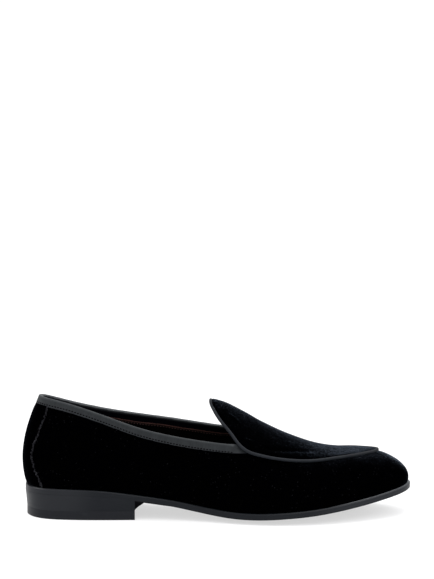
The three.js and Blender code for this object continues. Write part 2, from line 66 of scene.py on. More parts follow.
# Floor and light: a smooth white sheet that runs out into a white sky, a little brighter overhead, with a
# wide lamp over the toe and two smaller ones that draw the edges of the black pieces.
class Shade:
    """A socket of a material, or the bare material. Arithmetic on it adds Math nodes."""

    def __init__(self, tree, socket=None):
        self.tree = tree
        self.socket = socket

    def node(self, kind, settings=None, inputs=None, out=0):
        """Adds any node: its settings first, then its values or links."""
        made = self.tree.nodes.new("ShaderNode" + kind)
        for name, value in (settings or {}).items():
            setattr(made, name, value)
        for name, value in (inputs or {}).items():
            if isinstance(value, Shade):
                self.tree.links.new(value.socket, made.inputs[name])
            else:
                made.inputs[name].default_value = value
        return Shade(self.tree, made.outputs[out] if made.outputs else None)

    def math(self, operation, *values):
        return self.node("Math", {"operation": operation}, dict(enumerate(values)))

    def __add__(self, other):
        return self.math("ADD", self, other)

    def __sub__(self, other):
        return self.math("SUBTRACT", self, other)

    def __rsub__(self, other):
        return self.math("SUBTRACT", other, self)

    def __mul__(self, other):
        return self.math("MULTIPLY", self, other)

    __radd__ = __add__
    __rmul__ = __mul__

    def sine(self):
        return self.math("SINE", self)

    def step(self, start, end):
        """0 below start, 1 above end and smooth between them."""
        return self.node(
            "MapRange",
            {"interpolation_type": "SMOOTHSTEP"},
            {"Value": self, "From Min": start, "From Max": end},
        )

    def noise(self, size, detail=2, stretch=(1, 1, 1)):
        """Soft cloudy noise about 0.5, with lumps of that size in metres."""
        place = self.node("VectorMath", {"operation": "MULTIPLY"}, {0: self, 1: stretch})
        return self.node("TexNoise", None, {"Vector": place, "Scale": 1 / size, "Detail": detail})

    def cells(self, size):
        """Distance from the nearest of scattered points, that far apart in metres."""
        return self.node("TexVoronoi", None, {"Vector": self, "Scale": 1 / size})

    def mix(self, first, second):
        """The colour first where this is 0 and second where it is 1."""
        first, second = (c if isinstance(c, Shade) else (*c, 1) for c in (first, second))
        return self.node("Mix", {"data_type": "RGBA"}, {0: self, 6: first, 7: second}, out=2)

    def cover(self, inputs):
        """Ends a material with one Principled surface."""
        surface = self.node("BsdfPrincipled", None, inputs)
        self.node("OutputMaterial", None, {"Surface": surface})

    def bump(self, depth):
        """A normal roughened by this height, which runs from 0 to 1, over a depth in metres."""
        return self.node("Bump", None, {"Height": self, "Distance": depth})

    def part(self, axis):
        """One of the three numbers of a vector."""
        return self.node("SeparateXYZ", None, {0: self}, out=axis)


def new_finish(name):
    """A new material, its bare tree and its Object coordinates."""
    made = bpy.data.materials.new(name)
    made.use_nodes = True
    made.node_tree.nodes.clear()
    tree = Shade(made.node_tree)
    return made, tree, tree.node("TexCoord", out=3)


FLOOR_RADIUS = 7
FLOOR_WHITE = (0.4, 0.4, 0.4)
FLOOR_SHADE = (0.39, 0.39, 0.4)
FLOOR_CLOUD = 0.4
FLOOR_GLOW = 0.6
SKY_AT_HORIZON = 1.02
SKY_OVERHEAD = 1.55
SKY_RISE = (0.1, 1.0)
# Each lamp's name, place, size and power.
LAMPS = [
    ("overhead", (0.25, 0.1, 1.1), 0.9, 6.0),
    ("behind_heel", (-0.9, 0.1, 0.7), 0.5, 4.0),
    ("before_toe", (1.0, -0.5, 0.8), 0.6, 4.0),
]

bpy.ops.mesh.primitive_circle_add(vertices=96, radius=FLOOR_RADIUS, fill_type="NGON")
floor = bpy.context.active_object
floor.name = "floor"
paper, tree, place = new_finish("white_paper")
tree.cover(
    {
        "Base Color": place.noise(FLOOR_CLOUD).mix(FLOOR_WHITE, FLOOR_SHADE),
        "Roughness": 1.0,
        "Specular IOR Level": 0.0,
        "Emission Color": (1, 1, 1, 1),
        "Emission Strength": FLOOR_GLOW,
    }
)
floor.data.materials.append(paper)

world = bpy.data.worlds.new("white_tent")
world.use_nodes = True
bpy.context.scene.world = world
sky = Shade(world.node_tree)
height = sky.node("SeparateXYZ", None, {0: sky.node("TexCoord", out=0)}, out=2)
brightness = SKY_AT_HORIZON + (SKY_OVERHEAD - SKY_AT_HORIZON) * height.step(*SKY_RISE)
world.node_tree.links.new(
    brightness.socket, world.node_tree.nodes["Background"].inputs["Strength"]
)
world.node_tree.nodes["Background"].inputs["Color"].default_value = (1, 1, 1, 1)

for name, spot, size, power in LAMPS:
    bpy.ops.object.light_add(type="AREA", location=spot)
    lamp = bpy.context.active_object
    lamp.name = name
    lamp.data.size = size
    lamp.data.energy = power
    lamp.rotation_euler = (-Vector(spot)).to_track_quat("-Z", "Y").to_euler()


# Outsole: one leather sole with a close-trimmed edge, waxed black and burnished. It is cemented on, rises
# at the waist to the heel seat, and springs up at the toe.
MERGE_GAP = 0.01 * MM
CORNER_ANGLE = 40
SOLE_BREAK = 0.5 * MM
TREAD_TILT = -0.6
# A painted highlight along the sole's upper corner at the toe: its colour, where it starts towards the
# toe, and how far the corner must face up.
TOE_EDGE_HIGHLIGHT = (0.12, 0.127, 0.138)
HIGHLIGHT_TOE = (80 * MM, 110 * MM)
HIGHLIGHT_CORNER = (0.68, 0.96)
# Painted light that makes the edges paler at the toe and at the back of the heel, with the spans over
# which it fades in.
ENDS_PAINTED_LIGHT = (0.0125, 0.0138, 0.0168)
PAINTED_LIGHT_TOE = (60 * MM, 110 * MM)
PAINTED_LIGHT_HEEL = (-118 * MM, -86 * MM)
EDGE_STREAK = 5 * MM
EDGE_CLOUD = 16 * MM
EDGE_GRAIN = 0.4 * MM
EDGE_BUMP = 0.012 * MM


def slanted_edges(shape):
    """The edges that cut the four-sided cells of a solid's surface into triangles. Starts at the triangle
    that is closest to a right-angled one, and goes on from each triangle to its neighbours."""

    def lean(face):
        short, middle, long = sorted(edge.calc_length() ** 2 for edge in face.edges)
        return abs(long - middle - short) / long

    start = min(shape.faces, key=lean)
    slant = {start: max(start.edges, key=lambda edge: edge.calc_length())}
    queue = [start]
    for face in queue:
        ends = set(slant[face].verts)
        for edge in face.edges:
            for beside in set(edge.link_faces) - set(slant):
                across = [e for e in beside.edges if e != edge and not ends & set(e.verts)]
                slant[beside] = edge if edge == slant[face] else across[0]
                queue.append(beside)
    return {
        edge for edge in slant.values() if all(slant[face] == edge for face in edge.link_faces)
    }


def copy_of(node, name):
    """A copy of a solid as one closed mesh of four-sided faces, ready to be shaped."""
    bpy.ops.object.select_all(action="DESELECT")
    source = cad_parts[node]
    source.select_set(True)
    bpy.context.view_layer.objects.active = source
    bpy.ops.object.duplicate()
    piece = bpy.context.active_object
    piece.name = name
    piece.data.name = name
    piece.parent = None
    for key in list(piece.keys()):
        del piece[key]
    piece.data.materials.clear()
    bpy.ops.mesh.customdata_custom_splitnormals_clear()
    bpy.ops.object.mode_set(mode="EDIT")
    bpy.ops.mesh.select_all(action="SELECT")
    bpy.ops.mesh.remove_doubles(threshold=MERGE_GAP)
    bpy.ops.mesh.select_mode(type="EDGE")
    bpy.ops.mesh.select_all(action="DESELECT")
    shape = bmesh.from_edit_mesh(piece.data)
    for edge in slanted_edges(shape):
        edge.select_set(True)
    bmesh.update_edit_mesh(piece.data)
    bpy.ops.mesh.dissolve_edges(use_verts=False)
    bpy.ops.mesh.select_all(action="SELECT")
    bpy.ops.mesh.tris_convert_to_quads()
    bpy.ops.object.mode_set(mode="OBJECT")
    return piece


def activate(piece):
    bpy.ops.object.select_all(action="DESELECT")
    piece.select_set(True)
    bpy.context.view_layer.objects.active = piece


def pick_faces(piece, test):
    """In edit mode, selects the faces whose middle and normal pass the test."""
    activate(piece)
    bpy.ops.object.mode_set(mode="EDIT")
    bpy.ops.mesh.select_mode(type="FACE")
    shape = bmesh.from_edit_mesh(piece.data)
    for face in shape.faces:
        face.select_set(bool(test(face.calc_center_median(), face.normal)))
    shape.select_flush_mode()
    bmesh.update_edit_mesh(piece.data)


def apply_modifier(piece, kind, **settings):
    activate(piece)
    made = piece.modifiers.new(kind.lower(), kind)
    for name, value in settings.items():
        setattr(made, name, value)
    bpy.ops.object.modifier_apply(modifier=made.name)


def round_off(piece, levels, sharp_angle=None, crease=0.0):
    """Subdivides a piece into a smooth surface, holding the edges sharper than an angle."""
    activate(piece)
    if sharp_angle is not None:
        bpy.ops.object.mode_set(mode="EDIT")
        bpy.ops.mesh.select_mode(type="EDGE")
        bpy.ops.mesh.select_all(action="DESELECT")
        bpy.ops.mesh.edges_select_sharp(sharpness=math.radians(sharp_angle))
        bpy.ops.transform.edge_crease(value=crease)
        bpy.ops.object.mode_set(mode="OBJECT")
    apply_modifier(piece, "SUBSURF", levels=levels, render_levels=levels)
    bpy.ops.object.shade_smooth()


def break_edges(piece, width):
    """Takes the sharp corners of a trimmed piece off with a narrow bevel."""
    apply_modifier(
        piece,
        "BEVEL",
        width=width,
        segments=2,
        limit_method="ANGLE",
        angle_limit=math.radians(CORNER_ANGLE),
    )
    bpy.ops.object.shade_smooth()


def line_with(piece, test, second):
    """Gives the faces that pass the test the piece's second finish."""
    while len(piece.data.materials) < 2:
        piece.data.materials.append(second)
    pick_faces(piece, test)
    piece.active_material_index = 1
    bpy.ops.object.material_slot_assign()
    bpy.ops.object.mode_set(mode="OBJECT")


def seat(piece, slot, finishes, *nodes):
    """Gives a piece its finishes, sets it on the shoe and lets it stand for its solids."""
    while len(piece.data.materials) < len(finishes):
        piece.data.materials.append(None)
    for place, finish in enumerate(finishes):
        piece.data.materials[place] = finish
    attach(piece, "root")
    if nodes:
        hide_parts(*nodes)


def burnished_finish(name, black, worn, gloss, wax):
    """Leather edge, sanded along its length, stained black, waxed and burnished. It has painted light
    that makes it a little paler at the toe and at the back of the heel, and a painted highlight along its
    upper corner at the toe."""
    made, tree, place = new_finish(name)
    streaks = place.noise(EDGE_STREAK, 4, (1, 1, 12))
    cloud = place.noise(EDGE_CLOUD, 3)
    grain = place.noise(EDGE_GRAIN, 3)
    # Painted highlight: lighter where the edge's corner faces up, towards the toe.
    toeward = place.part(0).step(*HIGHLIGHT_TOE) * (0.6 + 0.8 * cloud)
    toe_highlight_mask = tree.node("NewGeometry", out=1).part(2).step(*HIGHLIGHT_CORNER) * toeward
    stained = (0.6 * streaks + 0.4 * cloud).step(0.35, 0.75).mix(black, worn)
    # Painted light: paler towards the toe and towards the back of the heel.
    ends = 1 - place.part(0).step(*PAINTED_LIGHT_HEEL) + place.part(0).step(*PAINTED_LIGHT_TOE)
    painted_light_ends = ends * (0.55 + 0.9 * cloud)
    tree.cover(
        {
            "Base Color": toe_highlight_mask.mix(painted_light_ends.mix(stained, ENDS_PAINTED_LIGHT), TOE_EDGE_HIGHLIGHT),
            "Roughness": 0.3 + 0.22 * cloud,
            "Specular IOR Level": gloss,
            "Coat Weight": wax,
            "Coat Roughness": 0.12,
            "Normal": (0.6 * streaks + 0.4 * grain).bump(EDGE_BUMP),
        }
    )
    return made


sole_edge = burnished_finish(
    "burnished_sole_edge", (0.004, 0.0052, 0.0074), (0.007, 0.0084, 0.0108), 0.1, 0.05
)

tread, tree, place = new_finish("black_tread")
scuffs = place.noise(4 * MM, 4, (1, 3, 1))
tree.cover(
    {
        "Base Color": scuffs.step(0.35, 0.75).mix((0.006, 0.006, 0.0072), (0.012, 0.012, 0.0138)),
        "Roughness": 0.8 + 0.15 * scuffs,
        "Specular IOR Level": 0.0,
        "Normal": (0.5 * scuffs + 0.5 * place.noise(0.6 * MM, 3)).bump(0.06 * MM),
    }
)

outsole = copy_of("outsole", "leather_outsole")
line_with(outsole, lambda c, n: n.z < TREAD_TILT, tread)
round_off(outsole, levels=2, sharp_angle=CORNER_ANGLE, crease=1.0)
break_edges(outsole, SOLE_BREAK)
seat(outsole, "sole_leather", [sole_edge, tread], "outsole")


# Heel: three leather lifts under the seat, trimmed together with the sole's edge and waxed black. The
# joints between the lifts stay as hairlines round the heel.
LIFT_JOINTS = [10.1 * MM, 13.7 * MM]
JOINT_WIDTH = 0.16 * MM
JOINT_DEPTH = 0.05 * MM
# The solids stand 0.3 mm apart. The lifts' top is raised past that gap and a little into the sole.
SEAT_RISE = 1.1 * MM
HEEL_BREAK = 0.15 * MM
LEVEL_TILT = 0.7
UPRIGHT_TILT = 0.5
BREAST_TILT = 0.3

heel_edge = burnished_finish(
    "burnished_heel", (0.004, 0.0052, 0.0078), (0.0066, 0.0078, 0.0104), 0.1, 0.07
)

lifts = copy_of("heel_stack", "heel_lifts")
pick_faces(lifts, lambda c, n: n.z > LEVEL_TILT)
bpy.ops.transform.translate(value=(0, 0, SEAT_RISE))
bpy.ops.object.mode_set(mode="OBJECT")
round_off(lifts, levels=2, sharp_angle=CORNER_ANGLE, crease=1.0)
break_edges(lifts, HEEL_BREAK)
for joint in LIFT_JOINTS:
    for side in (-1, 1):
        cut = joint + side * JOINT_WIDTH / 2
        bpy.ops.object.mode_set(mode="EDIT")
        bpy.ops.mesh.select_all(action="SELECT")
        bpy.ops.mesh.bisect(plane_co=(0, 0, cut), plane_no=(0, 0, 1))
        bpy.ops.object.mode_set(mode="OBJECT")
    pick_faces(
        lifts, lambda c, n: abs(c.z - joint) < JOINT_WIDTH / 2 and abs(n.z) < UPRIGHT_TILT
    )
    bpy.ops.transform.shrink_fatten(value=-JOINT_DEPTH)
    bpy.ops.object.mode_set(mode="OBJECT")
line_with(lifts, lambda c, n: n.x > BREAST_TILT, tread)
seat(lifts, "sole_leather", [heel_edge, tread], "heel_stack")


# Top piece: the hard rubber sheet that meets the ground, glued under the lifts and trimmed flush with
# them.
TOP_PIECE_GAP = 0.3 * MM

rubber, tree, place = new_finish("hard_rubber")
dust = place.noise(3 * MM, 3)
tree.cover(
    {
        "Base Color": dust.step(0.5, 0.8).mix((0.0074, 0.0082, 0.011), (0.0105, 0.0116, 0.015)),
        "Roughness": 0.34 + 0.15 * dust,
        "Specular IOR Level": 0.13,
        "Normal": place.noise(0.5 * MM, 3).bump(0.02 * MM),
    }
)

top_piece = copy_of("heel_top_piece", "rubber_top_piece")
pick_faces(top_piece, lambda c, n: n.z > LEVEL_TILT)
bpy.ops.transform.translate(value=(0, 0, TOP_PIECE_GAP))
bpy.ops.object.mode_set(mode="OBJECT")
round_off(top_piece, levels=2, sharp_angle=CORNER_ANGLE, crease=1.0)
break_edges(top_piece, HEEL_BREAK)
line_with(top_piece, lambda c, n: n.x > BREAST_TILT, tread)
seat(top_piece, "heel_rubber", [rubber, tread], "heel_top_piece")


# Insole: a thin board that the upper is lasted round, under a full sock of dark lining leather. The sock
# is glued down from heel to toe, and the foot stands on it.
LEATHER_CLOUD = 8 * MM
LEATHER_CELL = 0.9 * MM
LEATHER_GRAIN = 0.5 * MM


def leather_finish(name, dark, light, roughness, gloss, depth):
    """Smooth leather with a fine pebbled grain."""
    made, tree, place = new_finish(name)
    cloud = place.noise(LEATHER_CLOUD, 3)
    cells = place.cells(LEATHER_CELL)
    tree.cover(
        {
            "Base Color": cloud.step(0.3, 0.8).mix(dark, light),
            "Roughness": roughness + 0.2 * cloud,
            "Specular IOR Level": gloss,
            "Normal": (0.6 * cells + 0.4 * place.noise(LEATHER_GRAIN, 3)).bump(depth),
        }
    )
    return made


sock_leather = leather_finish(
    "sock_leather", (0.004, 0.0038, 0.0038), (0.008, 0.0076, 0.0072), 0.5, 0.3, 0.1 * MM
)

sock = copy_of("insole", "leather_sock")
round_off(sock, levels=2, sharp_angle=CORNER_ANGLE, crease=0.5)
seat(sock, "sock", [sock_leather], "insole")


# Upper: vamp and quarters in black cotton velvet over a leather lining, one wall lasted down to the
# sole. The pile stands upright, so it looks black face on and grey where light rakes over it.
PILE_HEIGHT = 0.4 * MM
PILE_BUMP = 0.5 * MM
PILE_TINT = (0.66, 0.79, 1.0, 1)
LYING_SHEEN = 0.05
NAP_PATCH = 13 * MM
NAP_TUFT = 3 * MM
NAP_FIBRE = 1.0 * MM
LINT = (0.024, 0.024, 0.027)
LINT_SPACING = 2.3 * MM
LINT_RADIUS = (0.04, 0.12)
LINT_PATCHES = (0.43, 0.56)
SPINE_HEIGHT = 30 * MM
SPINE_BACK = -112 * MM
SPINE_FRONT = 105 * MM
FOOT_TILT = -0.7
FOOT_GAP = 0.35 * MM
SLACK_SIZE = 26 * MM
UPPER_SLACK = 0.7 * MM
FADE_OUT = (0.04, 0.96)
# A pull's centre, the radius over which it fades out, and its move.
TOE_RISE = ((124 * MM, 2.7 * MM, 46 * MM), 11 * MM, (0, 0, 0.8 * MM))
FLEX_WIDTH = 3.4 * MM
FLEX_DEPTH = 0.8 * MM
# The creases where the foot bends and at the arch, each a line of places in millimetres.
FLEX_LINES = [
    [(34, -36, 48), (36, -42, 40), (40, -47, 31), (46, -49, 21)],
    [(49, -33, 45), (51, -41, 37), (55, -47, 28), (61, -49, 19)],
    [(-12, -36.5, 50), (-8, -38.5, 43), (-2, -41, 34), (7, -43, 27)],
    [(34, 38.5, 48), (36, 43, 40), (40, 47, 31), (46, 48, 21)],
    [(49, 36.5, 45), (51, 44, 37), (55, 48, 28), (61, 49.5, 19)],
    [(-12, 35, 50), (-8, 34.5, 43), (-2, 34.5, 34), (7, 35.5, 27)],
]


def velvet_finish(name, top_light_colour, sheen, rough, top_light_from, top_light_to, patchy):
    """Velvet whose colour turns from black to a painted light colour where it faces up, as if lit from
    above, broken up by patches of nap. Its sheen is strongest there too."""
    made, tree, place = new_finish(name)
    patch = place.noise(NAP_PATCH, 3)
    tuft = place.noise(NAP_TUFT, 3)
    fibre = place.noise(NAP_FIBRE, 2).step(0.3, 0.7)
    upward = tree.node("NewGeometry", out=1).part(2)
    mottle = patchy * (patch - 0.5) + 0.25 * (tuft - 0.5) + 0.14 * (fibre - 0.5)
    # Painted light: the base colour is lighter where the surface faces up, mottled by the nap.
    nap_and_top_light = (upward + mottle).step(top_light_from, top_light_to) * (0.35 + 1.3 * fibre)
    deep = tuft.mix((0.0, 0.0, 0.0), (0.0002, 0.0002, 0.0004))
    lint = (1 - place.cells(LINT_SPACING).step(*LINT_RADIUS)) * patch.step(*LINT_PATCHES)
    shared = {
        "Base Color": lint.mix(nap_and_top_light.mix(deep, top_light_colour), LINT),
        "Roughness": 1.0,
        "Specular IOR Level": 0.0,
        "Normal": (0.26 * fibre + 0.4 * tuft).bump(PILE_BUMP),
        "Sheen Roughness": rough,
        "Sheen Tint": PILE_TINT,
    }
    lying = tree.node("BsdfPrincipled", None, {**shared, "Sheen Weight": LYING_SHEEN * sheen})
    standing = tree.node("BsdfPrincipled", None, {**shared, "Sheen Weight": sheen})
    share = (0.2 * patch + 0.25 * tuft + 0.3 * fibre + 0.8 * upward).step(0.78, 1.33)
    surface = tree.node("MixShader", None, {0: share, 1: lying, 2: standing})
    tree.node("OutputMaterial", None, {"Surface": surface})
    return made


def walk(start, ahead):
    """The loop of corners that leaves start towards ahead on a mesh of four-sided faces."""
    loop = [start]
    edge = next(e for e in start.link_edges if e.other_vert(start) == ahead)
    while ahead != start and len(ahead.link_edges) == 4:
        loop.append(ahead)
        behind = set(edge.link_faces)
        edge = next(e for e in ahead.link_edges if not behind & set(e.link_faces))
        ahead = edge.other_vert(ahead)
    return loop


def wall_columns(piece):
    """The upper's corners by column, from the back round the outer side, and in each column from the
    collar down the outer face and up the inner one."""
    shape = bmesh.new()
    shape.from_mesh(piece.data)
    top = max((v for v in shape.verts if abs(v.co.y) < MM), key=lambda v: v.co.z)
    beside = [e.other_vert(top) for e in top.link_edges]
    rim = walk(top, min(beside, key=lambda v: v.co.y))
    columns = []
    for corner in rim:
        near = [e.other_vert(corner) for e in corner.link_edges]
        below = min((v for v in near if v not in rim), key=lambda v: v.co.z)
        columns.append([v.co.copy() for v in walk(corner, below)])
    shape.free()
    return columns


def outward(place):
    """The direction from the middle of the foot's room to a place on the shoe."""
    along = min(max(place.x, SPINE_BACK), SPINE_FRONT)
    return (place - Vector((along, 0, SPINE_HEIGHT))).normalized()


def corners_of(piece, kind="co"):
    """The places or normals of all corners of a piece, one row each."""
    numbers = np.empty(len(piece.data.vertices) * 3)
    piece.data.vertices.foreach_get(kind, numbers)
    return numbers.reshape(-1, 3)


def place_corners(piece, places):
    piece.data.vertices.foreach_set("co", places.ravel())
    piece.data.update()


def draw_out(piece, centre, radius, move):
    """Pulls the part of a piece round a centre by a move that fades out over the radius."""
    place = corners_of(piece)
    gap = np.linalg.norm(place - np.array(centre), axis=1)
    fall = np.exp(-((gap / radius) ** 2))
    place_corners(piece, place + np.array(move) * fall[:, None])


def along_line(places, line):
    """For each place, how far along a line it lies and how far from it."""
    laid = np.zeros((len(places), 3))
    nearest = np.full(len(places), 1e9)
    passed = 0.0
    for start, end in zip(line[:-1], line[1:]):
        start = np.array(start)
        run = np.array(end) - start
        length = np.linalg.norm(run)
        share = np.clip((places - start) @ run / length**2, 0, 1)
        gap = np.linalg.norm(places - start - share[:, None] * run, axis=1)
        closer = gap < nearest
        laid[closer, 0] = passed + share[closer] * length
        laid[closer, 1] = gap[closer]
        nearest = np.minimum(nearest, gap)
        passed += length
    return laid


def press(piece, line, width, depth):
    """Presses a soft trough along a line into a surface, or raises a ridge where depth is negative."""
    line = [Vector(p) * MM for p in line]
    place = corners_of(piece)
    laid = along_line(place, line)
    length = sum((b - a).length for a, b in zip(line[:-1], line[1:]))
    ends = np.sin(np.pi * np.clip(laid[:, 0] / length, *FADE_OUT))
    fall = ends * np.exp(-((laid[:, 1] / width) ** 2))
    place_corners(piece, place - corners_of(piece, "normal") * (depth * fall)[:, None])


def slacken(piece, depth):
    """Lets a fabric face swell and sink a little, as it does between the places where it is held."""
    clouds = bpy.data.textures.new("slack", "CLOUDS")
    clouds.noise_scale = SLACK_SIZE
    clouds.noise_depth = 1
    apply_modifier(
        piece, "DISPLACE", texture=clouds, texture_coords="LOCAL", strength=depth, mid_level=0.5
    )


# The first colour is the painted light on the upper's up-facing velvet.
velvet = velvet_finish("black_velvet", (0.003, 0.0037, 0.0052), 0.95, 0.2, 0.78, 1.3, 0.3)
lining = leather_finish(
    "lining_leather", (0.0009, 0.0008, 0.0008), (0.0018, 0.0016, 0.0016), 0.75, 0.0, 0.08 * MM
)

upper = copy_of("upper", "velvet_upper")
wall = wall_columns(upper)
line_with(upper, lambda c, n: n.dot(outward(c)) < 0, lining)
pick_faces(upper, lambda c, n: n.z < FOOT_TILT)
bpy.ops.transform.translate(value=(0, 0, -FOOT_GAP))
bpy.ops.object.mode_set(mode="OBJECT")
draw_out(upper, *TOE_RISE)
round_off(upper, levels=3)
slacken(upper, UPPER_SLACK)
for line in FLEX_LINES:
    press(upper, line, FLEX_WIDTH, FLEX_DEPTH)
apply_modifier(upper, "DISPLACE", strength=PILE_HEIGHT, mid_level=0)
seat(upper, "velvet", [velvet, lining], "upper")


# Back strip: a second layer of velvet over the seam at the heel, narrowest at half its height. Its two
# cut edges are frayed into a paler ragged line.
OUTER_ROWS = 10
# Half the strip's width, counted in columns of the upper's wall, at each of its rows from the top row.
STRIP_EDGE = [5.05, 4.95, 4.6, 4.3, 3.85, 3.65, 4.1, 4.75, 5.15]
STRIP_TOP_ROW = 2
STRIP_ROWS = (1.9, 10.0)
STRIP_LIFT = 0.9 * MM
STRIP_THICKNESS = 0.9 * MM
STRIP_PILE = 0.2 * MM
# The strip starts at that share of its lift, and gains so much over its length until it has all of it.
TUCKED_SHARE = 0.15
TUCKED_GAIN = 8
CURVE_STEPS = 24
# How far outside a surface the search for the nearest place on it starts.
OUTSIDE = 1.5 * MM
SIZE_SPREAD = 0.4
FRAY_BEYOND = 0.02
TUFT_SPACING = 0.6 * MM
TUFT_SIZE = (1.3 * MM, 1.0 * MM, 0.55 * MM)
TUFT_SCATTER = 0.6 * MM
TUFT_TURN = 1.2


def smooth_line(points, spacing):
    """Evenly spaced places on one smooth line through the points."""
    points = [Vector(p) for p in points]
    fine = []
    for i in range(len(points) - 1):
        b, c = points[i], points[i + 1]
        a = points[i - 1] if i else b + (b - c)
        d = points[i + 2] if i + 2 < len(points) else c + (c - b)
        for step in range(CURVE_STEPS):
            t = step / CURVE_STEPS
            bend = 2 * a - 5 * b + 4 * c - d + t * (3 * (b - c) + d - a)
            fine.append(b + 0.5 * t * (c - a + t * bend))
    fine.append(points[-1])
    line = [fine[0]]
    left = spacing
    for start, end in zip(fine[:-1], fine[1:]):
        run = (end - start).length
        while run > 1e-9 and left <= run:
            line.append(start.lerp(end, left / run))
            left += spacing
        left -= run
    return line


def surface_of(piece):
    """A finished piece's surface, to find the nearest place on it."""
    shape = bmesh.new()
    shape.from_mesh(piece.data)
    tree = BVHTree.FromBMesh(shape)
    shape.free()
    return tree


def on_wall(column, row):
    """A place on the upper's outer face, between its columns and rows."""
    left, high = math.floor(column), min(math.floor(row), OUTER_ROWS - 1)
    rows = [wall[i][high].lerp(wall[i][high + 1], row - high) for i in (left, left + 1)]
    return rows[0].lerp(rows[1], column - left)


def lay_cloth(name, across, along, place_of, thickness, faces_out):
    """A thin piece of cloth: a grid whose corners go where place_of puts them, given a thickness."""
    bpy.ops.object.select_all(action="DESELECT")
    bpy.ops.mesh.primitive_grid_add(x_subdivisions=across, y_subdivisions=along, size=2)
    cloth = bpy.context.active_object
    cloth.name = name
    cloth.data.name = name
    for corner in cloth.data.vertices:
        corner.co = place_of((corner.co.x + 1) / 2, (corner.co.y + 1) / 2)
    cloth.data.update()
    middle = cloth.data.polygons[len(cloth.data.polygons) // 2]
    if (middle.normal.dot(outward(middle.center)) > 0) != faces_out:
        bpy.ops.object.mode_set(mode="EDIT")
        bpy.ops.mesh.flip_normals()
        bpy.ops.object.mode_set(mode="OBJECT")
    apply_modifier(cloth, "SOLIDIFY", thickness=thickness, offset=-1)
    round_off(cloth, 1)
    return cloth


def sew_on(name, line, surface, model, scatter=0.0, sink=0.0, turn=0.0, reach=OUTSIDE):
    """Copies of a small model along a line, each laid on the surface outside it, or inside it where the
    reach is negative."""
    copies = []
    for behind, here, ahead in zip([line[0], *line], line, [*line[1:], line[-1]]):
        place, normal = surface.find_nearest(here + reach * outward(here))[:2]
        along = (ahead - behind).normalized()
        across = normal.cross(along).normalized()
        slant = random.uniform(-turn, turn)
        along = (along * math.cos(slant) + across * math.sin(slant)).normalized()
        across = normal.cross(along).normalized()
        along = across.cross(normal)
        place = place + across * random.uniform(-scatter, scatter) - normal * sink
        grown = 1 + random.uniform(-scatter, scatter) / (scatter or 1) * SIZE_SPREAD
        turned = Matrix((along * grown, across * grown, normal)).transposed().to_4x4()
        copy = bpy.data.objects.new(name, model.data.copy())
        copy.data.transform(Matrix.Translation(place) @ turned)
        bpy.context.scene.collection.objects.link(copy)
        copies.append(copy)
    bpy.ops.object.select_all(action="DESELECT")
    for copy in copies:
        copy.select_set(True)
    bpy.context.view_layer.objects.active = copies[0]
    bpy.ops.object.join()
    copies[0].name = name
    copies[0].data.name = name
    bpy.ops.object.shade_smooth()
    bpy.data.objects.remove(model)
    return copies[0]


def small_model(size):
    """A rounded grain of thread of that length, width and height, its ends drawn in."""
    bpy.ops.object.select_all(action="DESELECT")
    bpy.ops.mesh.primitive_uv_sphere_add(segments=8, ring_count=6, radius=0.5)
    model = bpy.context.active_object
    bpy.ops.object.mode_set(mode="EDIT")
    bpy.ops.transform.rotate(value=math.pi / 2, orient_axis="Y", center_override=(0, 0, 0))
    bpy.ops.transform.resize(value=size)
    bpy.ops.object.mode_set(mode="OBJECT")
    return model


def strip_half(row):
    """Half the strip's width at a row of the wall, in columns."""
    place = max(row - STRIP_TOP_ROW, 0)
    at = min(math.floor(place), len(STRIP_EDGE) - 2)
    return STRIP_EDGE[at] + (STRIP_EDGE[at + 1] - STRIP_EDGE[at]) * (place - at)


def on_strip(across, down):
    """The place of one corner of the strip, which is tucked under the binding at its top."""
    row = STRIP_ROWS[0] + down * (STRIP_ROWS[1] - STRIP_ROWS[0])
    here = on_wall((2 * across - 1) * strip_half(row), row)
    place, normal = skin.find_nearest(here + OUTSIDE * outward(here))[:2]
    return place + STRIP_LIFT * min(1, TUCKED_SHARE + TUCKED_GAIN * down) * normal


random.seed(11)
skin = surface_of(upper)
# The first colour is the painted light on the strip's up-facing velvet.
strip_velvet = velvet_finish("strip_velvet", (0.0016, 0.0016, 0.0026), 0.35, 0.25, 0.5, 1.2, 0.3)
strip = lay_cloth(
    "velvet_back_strip",
    across=24,
    along=40,
    place_of=on_strip,
    thickness=STRIP_THICKNESS,
    faces_out=True,
)
apply_modifier(strip, "DISPLACE", strength=STRIP_PILE, mid_level=0)
seat(strip, "velvet", [strip_velvet], "back_strip")

frayed, tree, place = new_finish("frayed_edge")
tree.cover(
    {
        "Base Color": place.noise(1.5 * MM, 3).step(0.35, 0.7).mix(
            (0.004, 0.004, 0.005), (0.026, 0.026, 0.03)
        ),
        "Roughness": 0.9,
        "Specular IOR Level": 0.05,
        "Normal": place.noise(0.3 * MM).bump(0.1 * MM),
    }
)
skin = surface_of(strip)
for side, name in ((1, "outer"), (-1, "inner")):
    rows = [STRIP_TOP_ROW + i / 2 for i in range(2 * len(STRIP_EDGE) - 1)]
    edge = [on_wall(side * (strip_half(row) + FRAY_BEYOND), row) for row in rows]
    fray = sew_on(
        "frayed_edge_" + name,
        smooth_line(edge, TUFT_SPACING),
        skin,
        small_model(TUFT_SIZE),
        scatter=TUFT_SCATTER,
        turn=TUFT_TURN,
    )
    seat(fray, "velvet", [frayed])


# Plug and tongue: one piece of velvet over the instep, whose free back end stands up as the tongue. It
# is lined with leather underneath.
LINED_TILT = -0.1
PLUG_SLACK = 0.3 * MM
TROUGH_WIDTH = 2.4 * MM
TROUGH_DEPTH = 0.55 * MM
FOLD_WIDTH = 1.3 * MM
FOLD_HEIGHT = 0.8 * MM
